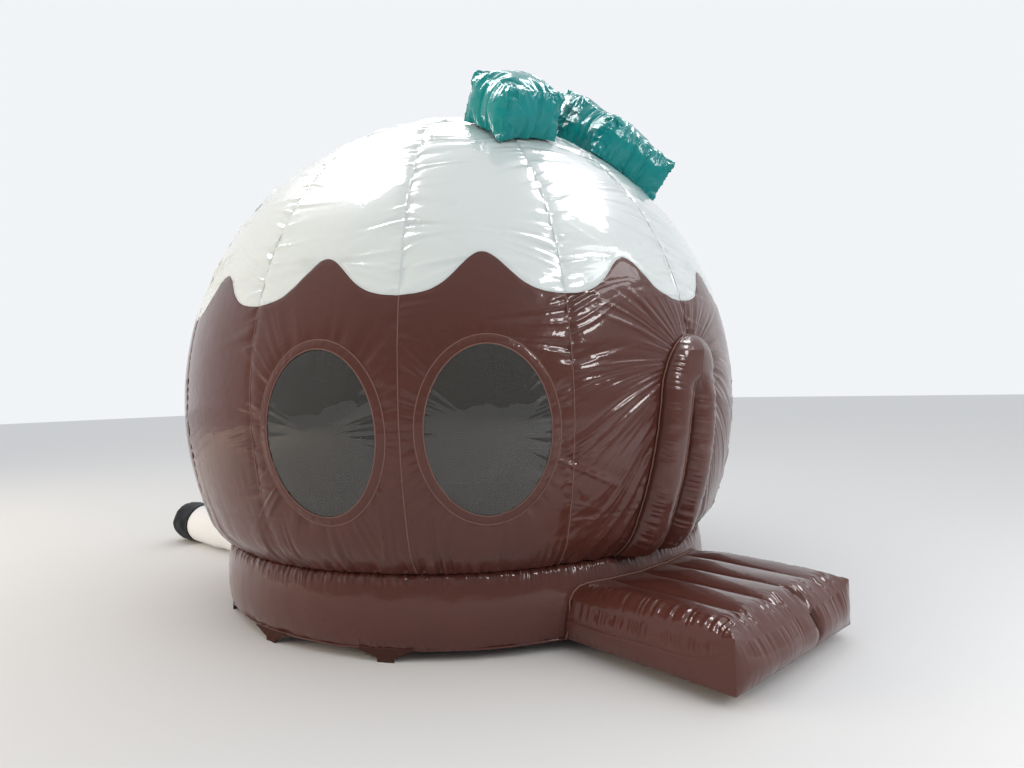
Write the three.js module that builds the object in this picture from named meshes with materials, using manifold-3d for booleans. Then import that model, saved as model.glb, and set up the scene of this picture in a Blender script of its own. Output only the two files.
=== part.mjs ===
// An inflatable bounce dome in the form of a Christmas pudding. A round inflated bed carries a
// single-skin dome of fourteen brown gores under fourteen white icing gores. It has four clear
// windows, a slit door between two inflated lips, a ribbed step, a holly sprig, a blower tube and
// anchor tabs.
// Millimetres, +Z up. The origin is on the floor at the dome's axis, and the door faces -Y.
// Azimuths are degrees from -Y toward +X, and latitudes are degrees above the dome's widest ring.

import * as THREE from 'three';
import { mergeVertices } from 'three/addons/utils/BufferGeometryUtils.js';
import Module from 'manifold-3d';

const wasm = await Module();
wasm.setup();

// The dome's skin
const DOME_RADIUS = 2300;
const DOME_RISE = 2363;
const DOME_CENTRE_Z = 1599;
const SKIN = 20;
const GORES = 14;
const GORE_ANGLE = 360 / GORES;
const DOOR_SEAM_AZIMUTH = 3.4;
const GORE_COLUMNS = 6;
const WALL_ROWS = 6;
const ICING_ROWS = 6;
const CREASE_LATITUDE = -26.5;
const TUCK_LATITUDE = -21;
const TUCK_SHARE = 0.038;

// The icing's scalloped edge and the round patch at the top of the dome
const LOBE_LATITUDE = 15.6;
const PEAK_LATITUDE = 22.2;
const PEAK_SHARPNESS = 2.75;
const PEAK_SPREAD = 0.3;
const CROWN_LATITUDE = 88.2;
const CROWN_SIDES = 28;

// The bed, whose underside curves up from the floor to a seam all round
const SEAM_HEIGHT = 80;
const BED_HEIGHT = 542;
const BED_FLOOR_RADIUS = 1790;
const BED_SEAM_RADIUS = 1980;
const BED_TOP_RADIUS = 1988;
const BED_BULGE_RADIUS = 2024;
const BED_SIDE_STEPS = 5;
const BED_SEGMENTS = 56;

// The windows, counted in gores from the door's seam
const WINDOW_GORES = [1.5, 2.5, -1.5, -2.5];
const WINDOW_LATITUDE = -4.2;
const WINDOW_HALF_WIDTH = 375;
const WINDOW_HALF_HEIGHT = 507;
const WINDOW_CURVE_STEPS = 10;
const WINDOW_BLANK = { halfAngle: 12, halfRise: 15, columns: 3, rows: 4 };
const WELT_WIDTH = 56;

// The door and its lips
const DOOR_TOP_LATITUDE = 9.6;
const DOOR_SPRING_LATITUDE = 1.2;
const DOOR_LEFT = { spring: -5.8, foot: -9.8 };
const DOOR_RIGHT = { spring: 7.4, foot: 6.6 };
const SLIT = { top: 3.2, spring: 0.8, foot: -1.8 };
const SLIT_HALF_ANGLE = 0.65;
const DOOR_TIP_SHARE = 0.12;
const DOOR_CUT_DEPTH = 200;
const LIP_FOOT_LATITUDE = -29;
const LIP_BULGE = 88;
const LIP_FULL_HALF_ANGLE = 2.5;
const LIP_LIFT = 22;
const LEG_ROWS = 8;
const ARCH_ROWS = 5;
const LIP_SIDES = 12;

// The step
const STEP_WIDTH = 1430;
const STEP_FRONT = 3019;
const STEP_BEAMS = 5;
const STEP_EDGE_HEIGHT = 418;
const STEP_FLOOR_INSET = 150;
const STEP_BEAM_RISE = 22;
const STEP_CORNER_RADIUS = 45;
const STEP_INNER_Y = -0.85 * BED_SEAM_RADIUS;
const STEP_CURVE_STEPS = 6;

// The blower tube, which lies on the floor behind the bed
const TUBE_RADIUS = 214;
const TUBE_SIDES = 20;
const TUBE_ROOT = { x: -1010, y: 1350 };
const TUBE_TURN = 6.6;
const TUBE_LENGTH = 1990;
const SLEEVE_RADIUS = 220;
const SLEEVE_LENGTH = 430;
const SLEEVE_ROUNDING = 90;
const SLEEVE_ROUNDING_STEPS = 4;

// The anchor tabs, counted from the door. The blower tube takes the place of one.
const TAB_PITCH = 27.5;
const FIRST_TAB_AZIMUTH = 54.1;
const TABS_A_SIDE = 5;
const TUBE_TAB_AZIMUTH = -FIRST_TAB_AZIMUTH - 3 * TAB_PITCH;
const TAB_ROOT_WIDTH = 370;
const TAB_END_WIDTH = 112;
const TAB_TAPER_HEIGHT = 25;
const TAB_SET_OUT = 6;
const TAB_THICKNESS = 6;

// The holly sprig: each leaf is an outline of points with hollows between them. A point's place is
// its share of the leaf's length along the leaf and to one side.
const LEAVES = [
  { root: { azimuth: -4, latitude: 67.5 }, tip: { azimuth: -28, latitude: 48 }, thickness: 372 },
  { root: { azimuth: 45, latitude: 70.5 }, tip: { azimuth: 30.4, latitude: 42.5 }, thickness: 375 },
];
const LEAF_POINT_PLACES = [[0.2, 0.22], [0.58, 0.37], [1, 0]];
const LEAF_HOLLOW = 0.3;
const LEAF_ROOT_HALF_WIDTH = 0.07;
const LEAF_BEVEL = 40;
const LEAF_CURVE_STEPS = 5;
const LEAF_CUT_SIDES = 84;
const BERRY_RADIUS = 208;
const BERRY_SIDES = 14;
const BERRY_ROWS = 9;
const BERRIES = [
  { azimuth: 15.5, latitude: 70.3, lift: 215 },
  { azimuth: 50, latitude: 77, lift: 215 },
  { azimuth: -1, latitude: 79.6, lift: 215 },
];

// Gaps between touching pieces
const GAP = 0.5;
const GAP_ANGLE = THREE.MathUtils.radToDeg(GAP / DOME_RADIUS);
const LEAF_GAP = 6;

const BROWN = { color: 0x5a3a34, roughness: 0.28, metalness: 0 };
const WHITE = { color: 0xe6eaea, roughness: 0.25, metalness: 0 };
const TEAL = { color: 0x08807a, roughness: 0.25, metalness: 0 };
const RED = { color: 0xb3202a, roughness: 0.25, metalness: 0 };
const BLACK = { color: 0x1c1d20, roughness: 0.45, metalness: 0 };
const CLEAR = { color: 0xc8cdd0, roughness: 0.08, metalness: 0, transparent: true, opacity: 0.35 };

const part = new THREE.Group();

function add(name, geometry, look) {
  const mesh = new THREE.Mesh(geometry, new THREE.MeshStandardMaterial(look));
  mesh.name = name;
  part.add(mesh);
}

function blend(from, to, share) {
  return from + (to - from) * share;
}

// Solids for joining and cutting

function toSolid(geometry) {
  const bare = geometry.clone();
  bare.deleteAttribute('normal');
  bare.deleteAttribute('uv');
  const merged = mergeVertices(bare, 1e-3);
  return new wasm.Manifold(new wasm.Mesh({
    numProp: 3,
    vertProperties: merged.attributes.position.array,
    triVerts: new Uint32Array(merged.index.array),
  }));
}

function toGeometry(solid) {
  const { vertProperties, triVerts } = solid.getMesh();
  const geometry = new THREE.BufferGeometry();
  geometry.setAttribute('position', new THREE.BufferAttribute(vertProperties, 3));
  geometry.setIndex(new THREE.BufferAttribute(triVerts, 1));
  return geometry;
}

function cut(geometry, ...tools) {
  let solid = toSolid(geometry);
  for (const tool of tools) {
    solid = solid.subtract(toSolid(tool));
  }
  return toGeometry(solid);
}

function common(geometry, tool) {
  return toGeometry(toSolid(geometry).intersect(toSolid(tool)));
}

// Places on the dome

function tuck(latitude) {
  const depth = Math.max(0, (TUCK_LATITUDE - latitude) / (TUCK_LATITUDE - CREASE_LATITUDE));
  return 1 - TUCK_SHARE * Math.min(depth, 1) ** 2;
}

function domeNormal(azimuth, latitude) {
  const turn = THREE.MathUtils.degToRad(azimuth);
  const rise = THREE.MathUtils.degToRad(latitude);
  const across = Math.cos(rise) / DOME_RADIUS;
  return new THREE.Vector3(
    across * Math.sin(turn),
    -across * Math.cos(turn),
    Math.sin(rise) / DOME_RISE,
  ).normalize();
}

function domePoint(azimuth, latitude, lift) {
  const turn = THREE.MathUtils.degToRad(azimuth);
  const rise = THREE.MathUtils.degToRad(latitude);
  const across = DOME_RADIUS * Math.cos(rise) * tuck(latitude);
  const point = new THREE.Vector3(
    across * Math.sin(turn),
    -across * Math.cos(turn),
    DOME_CENTRE_Z + DOME_RISE * Math.sin(rise),
  );
  return point.addScaledVector(domeNormal(azimuth, latitude), lift);
}

// A turned frame on the dome: X runs toward greater azimuths, Y up the dome and Z outward.
function domeFrame(azimuth, latitude) {
  const outward = domeNormal(azimuth, latitude);
  const along = new THREE.Vector3(0, 0, 1).cross(outward).normalize();
  const up = outward.clone().cross(along);
  const frame = new THREE.Matrix4().makeBasis(along, up, outward);
  return frame.setPosition(domePoint(azimuth, latitude, 0));
}

// Closed grids: rings of points joined side to side, with the first and last ring capped

function ringSolid(rings) {
  const sides = rings[0].length;
  const indices = [];
  for (let ring = 0; ring + 1 < rings.length; ring += 1) {
    for (let side = 0; side < sides; side += 1) {
      const next = (side + 1) % sides;
      const low = ring * sides;
      const high = low + sides;
      indices.push(low + side, low + next, high + next);
      indices.push(low + side, high + next, high + side);
    }
  }
  const last = (rings.length - 1) * sides;
  for (let side = 1; side + 1 < sides; side += 1) {
    indices.push(0, side + 1, side);
    indices.push(last, last + side, last + side + 1);
  }
  const geometry = new THREE.BufferGeometry().setFromPoints(rings.flat());
  geometry.setIndex(indices);
  return geometry;
}

// A curved slab of the dome's skin. place(share across, share up) gives azimuth and latitude.
function skinSlab(place, columns, rows, innerLift, outerLift) {
  const layer = (columns + 1) * (rows + 1);
  const points = [];
  for (const lift of [outerLift, innerLift]) {
    for (let row = 0; row <= rows; row += 1) {
      for (let column = 0; column <= columns; column += 1) {
        const [azimuth, latitude] = place(column / columns, row / rows);
        points.push(domePoint(azimuth, latitude, lift));
      }
    }
  }
  const indices = [];
  const quad = (a, b, c, d) => indices.push(a, b, c, a, c, d);
  for (let row = 0; row < rows; row += 1) {
    for (let column = 0; column < columns; column += 1) {
      const a = row * (columns + 1) + column;
      const d = a + columns + 1;
      quad(a, a + 1, d + 1, d);
      quad(layer + a, layer + d, layer + d + 1, layer + a + 1);
    }
  }
  for (let column = 0; column < columns; column += 1) {
    const top = rows * (columns + 1) + column;
    quad(column, layer + column, layer + column + 1, column + 1);
    quad(top, top + 1, layer + top + 1, layer + top);
  }
  for (let row = 0; row < rows; row += 1) {
    const left = row * (columns + 1);
    const right = left + columns;
    const step = columns + 1;
    quad(left, left + step, layer + left + step, layer + left);
    quad(right, layer + right, layer + right + step, right + step);
  }
  const geometry = new THREE.BufferGeometry().setFromPoints(points);
  geometry.setIndex(indices);
  return geometry;
}

// The gores

function icingEdgeLatitude(azimuth) {
  const wave = Math.sin(Math.PI * (azimuth - DOOR_SEAM_AZIMUTH) / GORE_ANGLE) ** 2;
  const share = blend(wave ** PEAK_SHARPNESS, wave, PEAK_SPREAD);
  return blend(LOBE_LATITUDE, PEAK_LATITUDE, share);
}

function goreSlab(gore, rows, lowEdge, highEdge) {
  const start = DOOR_SEAM_AZIMUTH + gore * GORE_ANGLE;
  const place = (across, up) => {
    const seam = start + across * GORE_ANGLE;
    const latitude = blend(lowEdge(seam), highEdge(seam), up);
    const radius = DOME_RADIUS * Math.cos(THREE.MathUtils.degToRad(latitude));
    const inset = THREE.MathUtils.radToDeg(GAP / 2 / radius);
    return [seam + (1 - 2 * across) * inset, latitude];
  };
  return skinSlab(place, GORE_COLUMNS, rows, -SKIN, 0);
}

function wallSlab(gore) {
  return goreSlab(gore, WALL_ROWS, () => CREASE_LATITUDE,
    (azimuth) => icingEdgeLatitude(azimuth) - GAP_ANGLE / 2);
}

function icingSlab(gore) {
  return goreSlab(gore, ICING_ROWS,
    (azimuth) => icingEdgeLatitude(azimuth) + GAP_ANGLE / 2, () => CROWN_LATITUDE);
}

function crownBody() {
  const radius = domePoint(0, CROWN_LATITUDE, -SKIN).setZ(0).length() - GAP;
  const crown = new THREE.CylinderGeometry(radius, radius, SKIN, CROWN_SIDES);
  crown.rotateX(Math.PI / 2);
  return crown.translate(0, 0, DOME_CENTRE_Z + DOME_RISE - SKIN / 2);
}

// The windows

function windowAzimuth(goreCount) {
  return DOOR_SEAM_AZIMUTH + goreCount * GORE_ANGLE;
}

function windowPrism(azimuth, margin) {
  const depth = 400;
  const ellipse = new THREE.Shape();
  ellipse.absellipse(0, 0, WINDOW_HALF_WIDTH + margin, WINDOW_HALF_HEIGHT + margin, 0, 2 * Math.PI);
  const prism = new THREE.ExtrudeGeometry(ellipse, {
    depth,
    bevelEnabled: false,
    curveSegments: WINDOW_CURVE_STEPS,
  });
  prism.translate(0, 0, -depth / 2);
  return prism.applyMatrix4(domeFrame(azimuth, WINDOW_LATITUDE));
}

function windowSlab(azimuth) {
  const { halfAngle, halfRise, columns, rows } = WINDOW_BLANK;
  const place = (across, up) => [
    azimuth + blend(-halfAngle, halfAngle, across),
    WINDOW_LATITUDE + blend(-halfRise, halfRise, up),
  ];
  return skinSlab(place, columns, rows, -SKIN, 0);
}

function addWindow(goreCount, number) {
  const azimuth = windowAzimuth(goreCount);
  const slab = windowSlab(azimuth);
  const pane = common(slab, windowPrism(azimuth, 0));
  const ring = common(slab, windowPrism(azimuth, WELT_WIDTH));
  add(`window_pane_${number}`, pane, CLEAR);
  add(`window_welt_${number}`, cut(ring, windowPrism(azimuth, GAP)), BROWN);
}

// The door

function legShare(latitude) {
  const share = (DOOR_SPRING_LATITUDE - latitude) / (DOOR_SPRING_LATITUDE - CREASE_LATITUDE);
  return THREE.MathUtils.clamp(share, 0, 1);
}

function archShare(latitude) {
  return Math.max(0, (latitude - DOOR_SPRING_LATITUDE) / (DOOR_TOP_LATITUDE - DOOR_SPRING_LATITUDE));
}

function slitAzimuth(latitude) {
  return blend(blend(SLIT.spring, SLIT.foot, legShare(latitude)), SLIT.top, archShare(latitude));
}

function doorEdge(side, latitude) {
  const share = legShare(latitude);
  const reach = blend(side.spring, side.foot, share) - blend(SLIT.spring, SLIT.foot, share);
  const arch = Math.sqrt(1 - archShare(latitude) ** 2);
  return slitAzimuth(latitude) + reach * Math.max(DOOR_TIP_SHARE, arch);
}

function doorLatitudes() {
  const latitudes = [];
  for (let row = 0; row < LEG_ROWS; row += 1) {
    latitudes.push(blend(LIP_FOOT_LATITUDE, DOOR_SPRING_LATITUDE, row / LEG_ROWS));
  }
  for (let row = 0; row <= ARCH_ROWS; row += 1) {
    const share = Math.sin(Math.PI / 2 * row / ARCH_ROWS);
    latitudes.push(blend(DOOR_SPRING_LATITUDE, DOOR_TOP_LATITUDE, Math.min(share, 1)));
  }
  return latitudes;
}

function doorCutter() {
  const latitudes = doorLatitudes();
  const place = (across, up) => {
    const latitude = latitudes[Math.round(up * (latitudes.length - 1))];
    const left = doorEdge(DOOR_LEFT, latitude) - GAP_ANGLE;
    const right = doorEdge(DOOR_RIGHT, latitude) + GAP_ANGLE;
    return [blend(left, right, across), latitude + up * GAP_ANGLE];
  };
  return skinSlab(place, 1, latitudes.length - 1, -DOOR_CUT_DEPTH, DOOR_CUT_DEPTH);
}

function lipRing(side, latitude) {
  const halfGap = latitude < DOOR_SPRING_LATITUDE ? SLIT_HALF_ANGLE : GAP_ANGLE;
  const outer = doorEdge(side, latitude);
  const inner = slitAzimuth(latitude) + Math.sign(side.spring) * halfGap;
  const middle = (outer + inner) / 2;
  const halfWidth = Math.abs(outer - inner) / 2;
  const bulge = LIP_BULGE * Math.min(1, halfWidth / LIP_FULL_HALF_ANGLE);
  const ring = [];
  for (let corner = 0; corner < LIP_SIDES; corner += 1) {
    const turn = 2 * Math.PI * corner / LIP_SIDES;
    const azimuth = middle + halfWidth * Math.cos(turn);
    const lift = LIP_LIFT * bulge / LIP_BULGE - bulge * Math.sin(turn);
    ring.push(domePoint(azimuth, latitude, lift));
  }
  return ring;
}

function doorLip(side) {
  const rings = doorLatitudes().map((latitude) => lipRing(side, latitude));
  return cut(ringSolid(rings), belowBedTop());
}

// The bed and the step

function belowBedTop() {
  const depth = 2 * BED_HEIGHT;
  const block = new THREE.CylinderGeometry(1.5 * DOME_RADIUS, 1.5 * DOME_RADIUS, depth, 12);
  block.rotateX(Math.PI / 2);
  return block.translate(0, 0, BED_HEIGHT + GAP - depth / 2);
}

function bedBody(margin) {
  const profile = [new THREE.Vector2(0, -margin), new THREE.Vector2(BED_FLOOR_RADIUS + margin, -margin)];
  for (let level = 0; level <= BED_SIDE_STEPS; level += 1) {
    const share = level / BED_SIDE_STEPS;
    const edge = blend(BED_SEAM_RADIUS, BED_TOP_RADIUS, share);
    const bulge = (BED_BULGE_RADIUS - (BED_SEAM_RADIUS + BED_TOP_RADIUS) / 2) * Math.sin(Math.PI * share);
    profile.push(new THREE.Vector2(edge + bulge + margin, blend(SEAM_HEIGHT, BED_HEIGHT + margin, share)));
  }
  profile.push(new THREE.Vector2(0, BED_HEIGHT + margin));
  const body = new THREE.LatheGeometry(profile, BED_SEGMENTS);
  return body.rotateX(Math.PI / 2);
}

function stepProfile() {
  const half = STEP_WIDTH / 2;
  const pitch = (STEP_WIDTH - 2 * STEP_CORNER_RADIUS) / STEP_BEAMS;
  const profile = new THREE.Shape();
  profile.moveTo(-half + STEP_FLOOR_INSET, 0);
  profile.lineTo(half - STEP_FLOOR_INSET, 0);
  profile.lineTo(half, SEAM_HEIGHT);
  profile.lineTo(half, STEP_EDGE_HEIGHT - STEP_CORNER_RADIUS);
  profile.lineTo(half - STEP_CORNER_RADIUS, STEP_EDGE_HEIGHT);
  for (let beam = 0; beam < STEP_BEAMS; beam += 1) {
    const start = half - STEP_CORNER_RADIUS - beam * pitch;
    profile.quadraticCurveTo(start - pitch / 2, STEP_EDGE_HEIGHT + 2 * STEP_BEAM_RISE,
      start - pitch, STEP_EDGE_HEIGHT);
  }
  profile.lineTo(-half, STEP_EDGE_HEIGHT - STEP_CORNER_RADIUS);
  profile.lineTo(-half, SEAM_HEIGHT);
  profile.closePath();
  return profile;
}

// A wedge under the front edge, where the step's underside curves up to its seam
function stepFrontWedge() {
  const wedge = new THREE.Shape();
  wedge.moveTo(STEP_FRONT - STEP_FLOOR_INSET, 0);
  wedge.lineTo(STEP_FRONT - STEP_FLOOR_INSET, -SEAM_HEIGHT);
  wedge.lineTo(STEP_FRONT + STEP_FLOOR_INSET, -SEAM_HEIGHT);
  wedge.lineTo(STEP_FRONT + STEP_FLOOR_INSET, 2 * SEAM_HEIGHT);
  wedge.closePath();
  const prism = new THREE.ExtrudeGeometry(wedge, { depth: 2 * STEP_WIDTH, bevelEnabled: false });
  prism.rotateX(Math.PI / 2);
  prism.rotateZ(-Math.PI / 2);
  return prism.translate(STEP_WIDTH, 0, 0);
}

function stepBody() {
  const block = new THREE.ExtrudeGeometry(stepProfile(), {
    depth: STEP_FRONT + STEP_INNER_Y,
    bevelEnabled: false,
    curveSegments: STEP_CURVE_STEPS,
  });
  block.rotateX(Math.PI / 2);
  block.translate(0, STEP_INNER_Y, 0);
  return cut(block, bedBody(GAP), stepFrontWedge());
}

// The blower tube and its dark sleeve, both made along +Y and then turned to their place

function layBehindBed(body) {
  body.rotateZ(THREE.MathUtils.degToRad(TUBE_TURN));
  return body.translate(TUBE_ROOT.x, TUBE_ROOT.y, 0);
}

function tubeBody() {
  const tube = new THREE.CylinderGeometry(TUBE_RADIUS, TUBE_RADIUS, TUBE_LENGTH, TUBE_SIDES);
  tube.translate(0, TUBE_LENGTH / 2, TUBE_RADIUS);
  return cut(layBehindBed(tube), bedBody(GAP));
}

function sleeveBody() {
  const shoulder = SLEEVE_RADIUS - SLEEVE_ROUNDING;
  const profile = [new THREE.Vector2(0, 0), new THREE.Vector2(SLEEVE_RADIUS, 0)];
  for (let level = 0; level <= SLEEVE_ROUNDING_STEPS; level += 1) {
    const turn = Math.PI / 2 * level / SLEEVE_ROUNDING_STEPS;
    const radius = shoulder + SLEEVE_ROUNDING * Math.cos(turn);
    profile.push(new THREE.Vector2(radius, SLEEVE_LENGTH - SLEEVE_ROUNDING * (1 - Math.sin(turn))));
  }
  profile.push(new THREE.Vector2(0, SLEEVE_LENGTH));
  const sleeve = new THREE.LatheGeometry(profile, TUBE_SIDES);
  sleeve.translate(0, TUBE_LENGTH + GAP, SLEEVE_RADIUS);
  return layBehindBed(sleeve);
}

// The anchor tabs, which hang from the bed's seam to the floor

function tabBody(azimuth) {
  const outline = new THREE.Shape();
  outline.moveTo(-TAB_ROOT_WIDTH / 2, SEAM_HEIGHT);
  outline.lineTo(-TAB_END_WIDTH / 2, TAB_TAPER_HEIGHT);
  outline.lineTo(-TAB_END_WIDTH / 2, 0);
  outline.lineTo(TAB_END_WIDTH / 2, 0);
  outline.lineTo(TAB_END_WIDTH / 2, TAB_TAPER_HEIGHT);
  outline.lineTo(TAB_ROOT_WIDTH / 2, SEAM_HEIGHT);
  outline.closePath();
  const tab = new THREE.ExtrudeGeometry(outline, { depth: TAB_THICKNESS, bevelEnabled: false });
  tab.rotateX(Math.PI / 2);
  tab.translate(0, -BED_SEAM_RADIUS - TAB_SET_OUT, 0);
  return tab.rotateZ(THREE.MathUtils.degToRad(azimuth));
}

function tabAzimuths() {
  const azimuths = [];
  for (let count = 0; count < TABS_A_SIDE; count += 1) {
    const azimuth = FIRST_TAB_AZIMUTH + count * TAB_PITCH;
    azimuths.push(azimuth, -azimuth);
  }
  return azimuths.filter((azimuth) => azimuth !== TUBE_TAB_AZIMUTH);
}

// The holly sprig

function leafOutline(length) {
  const points = [new THREE.Vector2(0, -LEAF_ROOT_HALF_WIDTH * length)];
  for (const [along, across] of LEAF_POINT_PLACES) {
    points.push(new THREE.Vector2(along * length, -across * length));
  }
  for (const [along, across] of LEAF_POINT_PLACES.slice(0, -1).reverse()) {
    points.push(new THREE.Vector2(along * length, across * length));
  }
  points.push(new THREE.Vector2(0, LEAF_ROOT_HALF_WIDTH * length));
  const spine = new THREE.Vector2();
  const outline = new THREE.Shape();
  outline.moveTo(points[0].x, points[0].y);
  for (let index = 1; index < points.length; index += 1) {
    const middle = points[index - 1].clone().lerp(points[index], 0.5);
    spine.set(middle.x, 0);
    middle.lerp(spine, LEAF_HOLLOW);
    outline.quadraticCurveTo(middle.x, middle.y, points[index].x, points[index].y);
  }
  outline.closePath();
  return outline;
}

function leafFrame({ root, tip }) {
  const start = domePoint(root.azimuth, root.latitude, 0);
  const end = domePoint(tip.azimuth, tip.latitude, 0);
  const along = end.clone().sub(start).normalize();
  const outward = domeNormal((root.azimuth + tip.azimuth) / 2, (root.latitude + tip.latitude) / 2);
  outward.addScaledVector(along, -outward.dot(along)).normalize();
  const across = outward.clone().cross(along);
  const frame = new THREE.Matrix4().makeBasis(along, across, outward).setPosition(start);
  return { frame, length: end.distanceTo(start) };
}

function domeBlank() {
  const blank = new THREE.SphereGeometry(1, LEAF_CUT_SIDES, LEAF_CUT_SIDES / 2);
  blank.rotateX(Math.PI / 2);
  blank.scale(DOME_RADIUS + LEAF_GAP, DOME_RADIUS + LEAF_GAP, DOME_RISE + LEAF_GAP);
  return blank.translate(0, 0, DOME_CENTRE_Z);
}

function leafBody(leafPlace) {
  const { frame, length } = leafFrame(leafPlace);
  const leaf = new THREE.ExtrudeGeometry(leafOutline(length - LEAF_BEVEL), {
    depth: leafPlace.thickness,
    bevelThickness: LEAF_BEVEL,
    bevelSize: LEAF_BEVEL / 2,
    bevelSegments: 1,
    curveSegments: LEAF_CURVE_STEPS,
  });
  leaf.translate(LEAF_BEVEL, 0, -LEAF_BEVEL);
  return cut(leaf.applyMatrix4(frame), domeBlank());
}

function berryBody({ azimuth, latitude, lift }) {
  const berry = new THREE.SphereGeometry(BERRY_RADIUS, BERRY_SIDES, BERRY_ROWS);
  const { x, y, z } = domePoint(azimuth, latitude, lift);
  return berry.translate(x, y, z);
}

// The whole object

add('bed', bedBody(0), BROWN);
add('step', stepBody(), BROWN);

for (let gore = 0; gore < GORES; gore += 1) {
  const middle = (gore < GORES / 2 ? gore : gore - GORES) + 0.5;
  const tools = [];
  if (WINDOW_GORES.includes(middle)) {
    tools.push(windowPrism(windowAzimuth(middle), WELT_WIDTH + GAP));
  }
  if (Math.abs(middle) < 1) {
    tools.push(doorCutter());
  }
  const wall = wallSlab(gore);
  add(`wall_gore_${gore + 1}`, tools.length > 0 ? cut(wall, ...tools) : wall, BROWN);
  add(`icing_gore_${gore + 1}`, icingSlab(gore), WHITE);
}

add('crown_patch', crownBody(), WHITE);

WINDOW_GORES.forEach((goreCount, index) => addWindow(goreCount, index + 1));

add('door_lip_left', doorLip(DOOR_LEFT), BROWN);
add('door_lip_right', doorLip(DOOR_RIGHT), BROWN);

add('blower_tube', tubeBody(), WHITE);
add('blower_sleeve', sleeveBody(), BLACK);

tabAzimuths().forEach((azimuth, index) => add(`anchor_tab_${index + 1}`, tabBody(azimuth), BROWN));

LEAVES.forEach((place, index) => add(`holly_leaf_${index + 1}`, leafBody(place), TEAL));
BERRIES.forEach((place, index) => add(`berry_${index + 1}`, berryBody(place), RED));

export default part;
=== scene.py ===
"""Looks of an inflatable bounce dome in the form of a Christmas pudding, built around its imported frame.

Metres, +Z up, origin on the floor at the dome's axis, door toward -Y. Azimuths run from -Y toward +X
and latitudes are above the dome's widest ring, both in degrees, as in the CAD source.
"""

import math

import bmesh
import bpy
import numpy as np
from mathutils import Matrix, Quaternion, Vector


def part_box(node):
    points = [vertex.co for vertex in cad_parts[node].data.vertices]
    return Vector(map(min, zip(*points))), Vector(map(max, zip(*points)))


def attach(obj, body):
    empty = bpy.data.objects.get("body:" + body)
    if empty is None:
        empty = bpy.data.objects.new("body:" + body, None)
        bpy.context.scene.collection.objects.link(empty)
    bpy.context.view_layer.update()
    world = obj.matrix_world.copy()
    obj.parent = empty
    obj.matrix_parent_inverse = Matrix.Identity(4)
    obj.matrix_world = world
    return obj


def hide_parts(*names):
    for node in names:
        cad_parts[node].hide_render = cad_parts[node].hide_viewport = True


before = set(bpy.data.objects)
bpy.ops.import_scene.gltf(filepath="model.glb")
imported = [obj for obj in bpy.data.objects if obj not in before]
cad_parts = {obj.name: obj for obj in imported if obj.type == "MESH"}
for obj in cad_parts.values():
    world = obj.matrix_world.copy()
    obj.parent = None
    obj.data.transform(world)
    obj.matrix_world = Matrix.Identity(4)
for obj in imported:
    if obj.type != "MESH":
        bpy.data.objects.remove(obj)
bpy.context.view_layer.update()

# The dome
RADIUS = 2.3
RISE = 2.363
CENTRE_Z = 1.599
GORES = 14
GORE_ANGLE = 360 / GORES
DOOR_SEAM = 3.4
CREASE = -26.5
TUCK = -21
TUCK_SHARE = 0.038
LOBE_LATITUDE = 15.6
PEAK_LATITUDE = 22.2
PEAK_SHARPNESS = 2.75
PEAK_SPREAD = 0.3
CROWN = 88.2
SHEET = 0.004
FLANGE = 0.07
ARC = math.radians(1) * RADIUS  # metres of skin in one degree of latitude

# Rows and columns of a gore's mesh, and how far the columns are pulled toward its seams
DOOR_GRID, WINDOW_GRID = (240, 120, 0.0), (230, 90, 0.45)
WALL_GRID, ICING_GRID = (210, 48, 0.72), (260, 76, 0.5)

# Windows
WINDOW_GORES = (1.5, 2.5, -1.5, -2.5)
WINDOW_LATITUDE = -4.2
WINDOW_HALF = (0.375, 0.507)
WINDOW_REACH = 0.44  # metres from a pane's middle to its edge, about
WINDOW_DEGREE = (ARC * math.cos(math.radians(WINDOW_LATITUDE)), ARC * RISE / RADIUS)  # metres across, up
WELT = 0.056

# Door
DOOR_TOP = 9.6
DOOR_SPRING = 1.2
DOOR_TIP_SHARE = 0.12
DOOR_LEFT = (-5.8, -9.8)
DOOR_RIGHT = (7.4, 6.6)
SLIT_TOP, SLIT_SPRING, SLIT_FOOT = 3.2, 0.8, -1.8
SLIT_HALF = 0.65
LIP_FOOT = -26.9
LIP_BULGE = 0.088
LIP_LIFT = 0.022
FAN_CENTRE = (1.4, 5.8)
LIP_ROWS, LIP_SIDES = 220, 96
LIP_PIPING = 12  # the side of the roll that its piping runs along

# Bed
BED_TOP = 0.542
BED_SEAM_Z = 0.08
BED_FLOOR_R = 1.79
BED_SEAM_R = 1.98
BED_BULGE_R = 2.024
BED_UNDER = ((0.05, 0), (0.9, 0), (BED_FLOOR_R - 0.06, 0), (BED_FLOOR_R, 0.003),  # radius, height
             (1.86, 0.022), (1.93, 0.048), (1.965, 0.068))
BED_INWARD = ((0.03, 0.004), (0.07, 0.004), (0.15, 0), (0.5, 0), (1.2, 0), (1.85, 0))  # from the edge, lift


# ---- noise

def lattice(ix, iy, iz, seed):
    mask = 0xFFFFFFFF
    h = (ix * 374761393 + iy * 668265263 + iz * 2147483647 + seed * 974634533) & mask
    h = ((h ^ (h >> 13)) * 1274126177) & mask
    h = ((h ^ (h >> 15)) * 2246822519) & mask
    return ((h ^ (h >> 16)) & 0xFFFF) / 32767.5 - 1


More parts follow.
